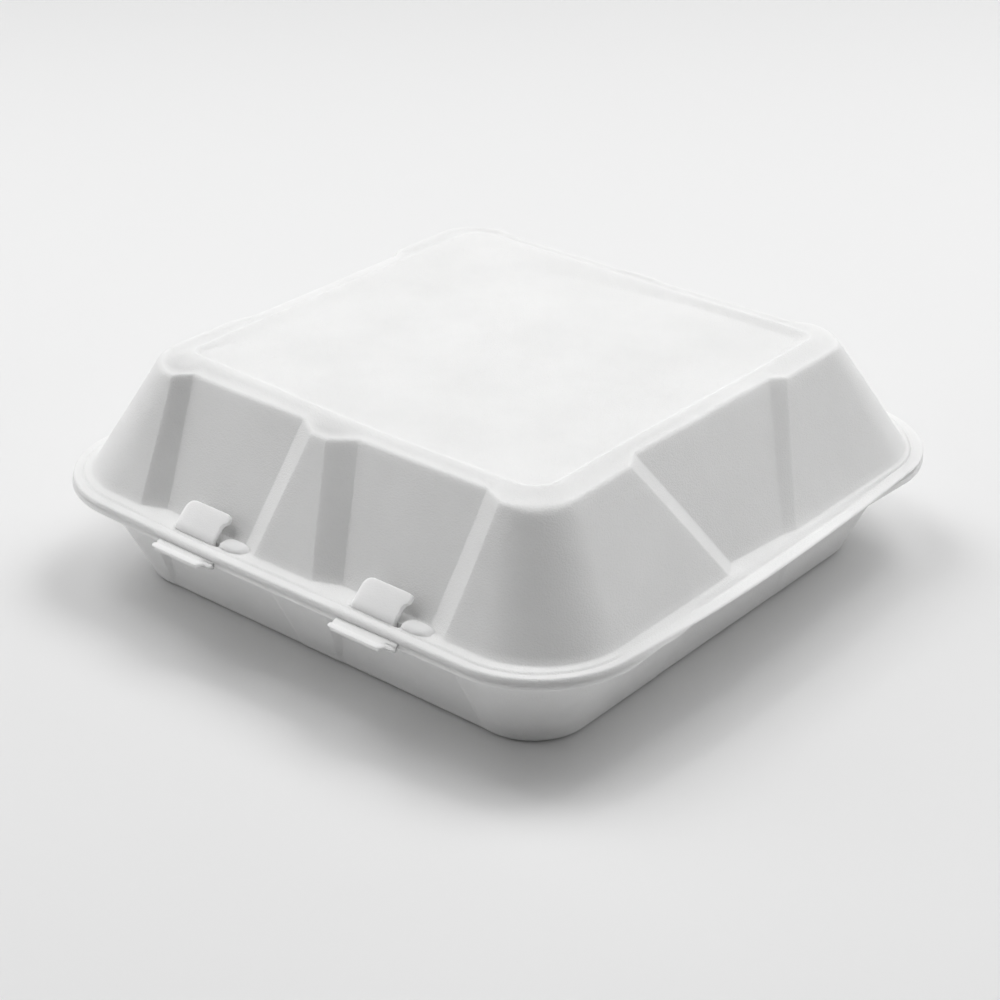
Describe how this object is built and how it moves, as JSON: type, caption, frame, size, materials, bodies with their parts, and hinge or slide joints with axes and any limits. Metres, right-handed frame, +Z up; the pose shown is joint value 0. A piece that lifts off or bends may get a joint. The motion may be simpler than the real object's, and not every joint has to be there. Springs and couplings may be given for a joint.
{
  "type": "hinged foam food container",
  "caption": "Square hinged clamshell food container in white foam, with pleated sloping walls, a sunk lid panel, a rim flange and two latch tabs through slots at the front.",
  "frame": {"origin": "centre of the flat underside of the tray", "axes": "+Z up, the latch side faces -Y, the hinge is at +Y, +X is to the right seen from the latch side"},
  "size_m": [0.236, 0.2356, 0.0797],
  "materials": {
    "foam": "matt expanded polystyrene foam with a fine bead texture"
  },
  "bodies": {
    "tray_body": {"tray": "foam"},
    "lid_body": {"lid": "foam"}
  },
  "joints": [
    {"name": "lid_hinge", "type": "hinge", "parent": "tray_body", "child": "lid_body", "pos_m": [0, 0.1163, 0.0364], "axis": [-1, 0, 0], "range_deg": [0, 168]}
  ]
}
